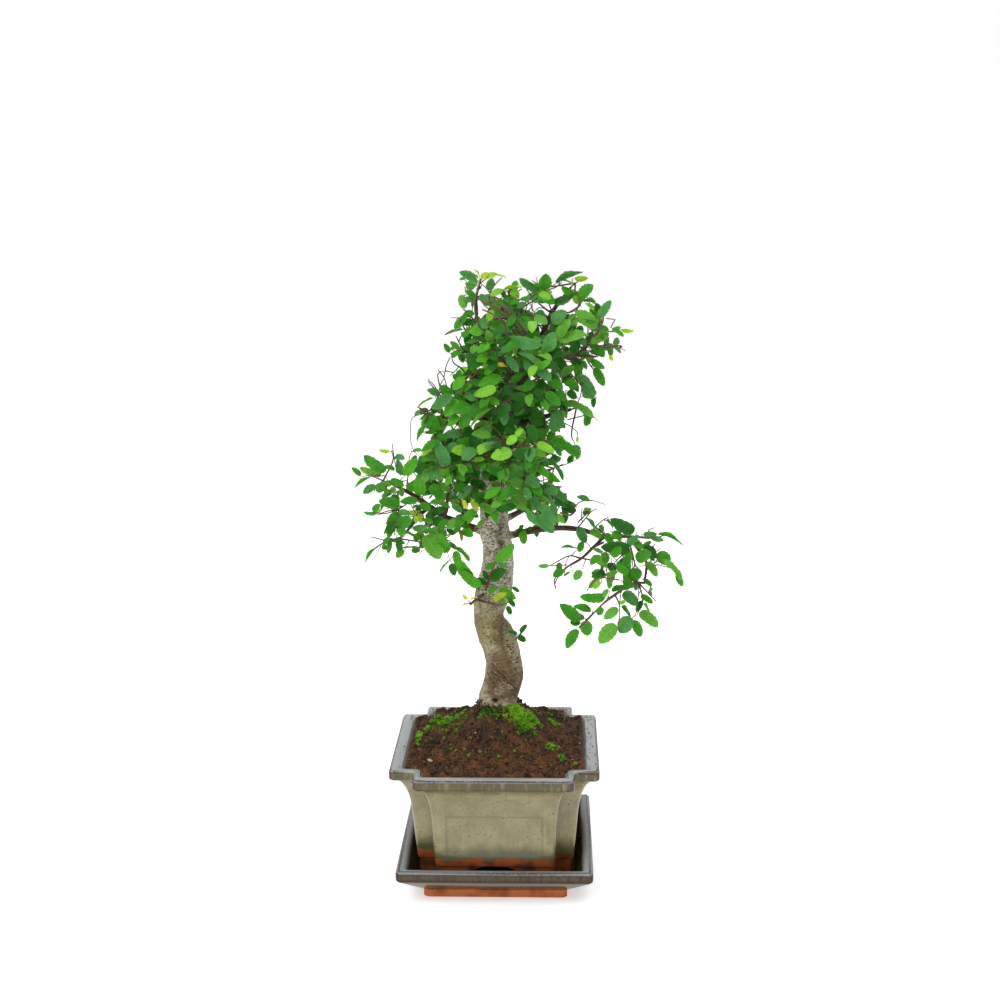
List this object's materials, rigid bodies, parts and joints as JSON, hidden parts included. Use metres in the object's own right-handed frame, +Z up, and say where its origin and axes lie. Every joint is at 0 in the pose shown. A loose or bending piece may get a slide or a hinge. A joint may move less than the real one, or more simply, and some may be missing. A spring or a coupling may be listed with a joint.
{
  "type": "zelkova bonsai in a pot with saucer",
  "caption": "Broadleaf bonsai tree with a winding trunk and serrate leaves, in a square glazed pot with notched corners on a matching saucer.",
  "frame": {"origin": "middle of the saucer's flat underside", "axes": "+Z up; +Y from the front of the pot, which faces the viewer, to its back; +X to the viewer's right"},
  "size_m": [0.2366, 0.1627, 0.4517],
  "materials": {
    "saucer_glaze": "gloss",
    "pot_glaze": "gloss",
    "soil": "matte",
    "bark": "matte",
    "leaves": "satin"
  },
  "bodies": {
    "root": {"saucer": "saucer_glaze", "pot": "pot_glaze", "soil": "soil", "trunk": "bark", "spray_apex_left": "leaves", "spray_apex_mid": "leaves", "spray_back_high": "leaves", "spray_back_low": "leaves", "spray_back_mid_a": "leaves", "spray_back_mid_b": "leaves", "spray_left_back": "leaves", "spray_left_drop": "leaves", "spray_left_front": "leaves", "spray_left_inner": "leaves", "spray_left_rise": "leaves", "spray_left_tip": "leaves", "spray_left_top": "leaves", "spray_low_back_l": "leaves", "spray_low_back_r": "leaves", "spray_low_front_a": "leaves", "spray_low_front_b": "leaves", "spray_mid_front_a": "leaves", "spray_mid_front_b": "leaves", "spray_mid_left_back": "leaves", "spray_mid_left_front": "leaves", "spray_mid_left_low": "leaves", "spray_mid_left_tip": "leaves", "spray_mid_right_back": "leaves", "spray_mid_right_front": "leaves", "spray_mid_right_tip": "leaves", "spray_right_back": "leaves", "spray_right_end": "leaves", "spray_right_far": "leaves", "spray_right_hang": "leaves", "spray_right_inner": "leaves", "spray_right_mid": "leaves", "spray_right_top": "leaves", "spray_right_upper": "leaves", "spray_right_upper_back": "leaves", "spray_shoot_low": "leaves", "spray_shoot_mid": "leaves", "spray_shoot_right": "leaves", "spray_shoot_strap": "leaves", "spray_top_back": "leaves", "spray_top_front": "leaves", "spray_top_right_front": "leaves", "spray_top_right_tip": "leaves", "spray_top_side": "leaves", "spray_top_tip": "leaves", "spray_upper_front_a": "leaves", "spray_upper_front_b": "leaves", "spray_upper_left_back": "leaves", "spray_upper_left_low": "leaves", "spray_upper_left_tip": "leaves"}
  },
  "joints": []
}
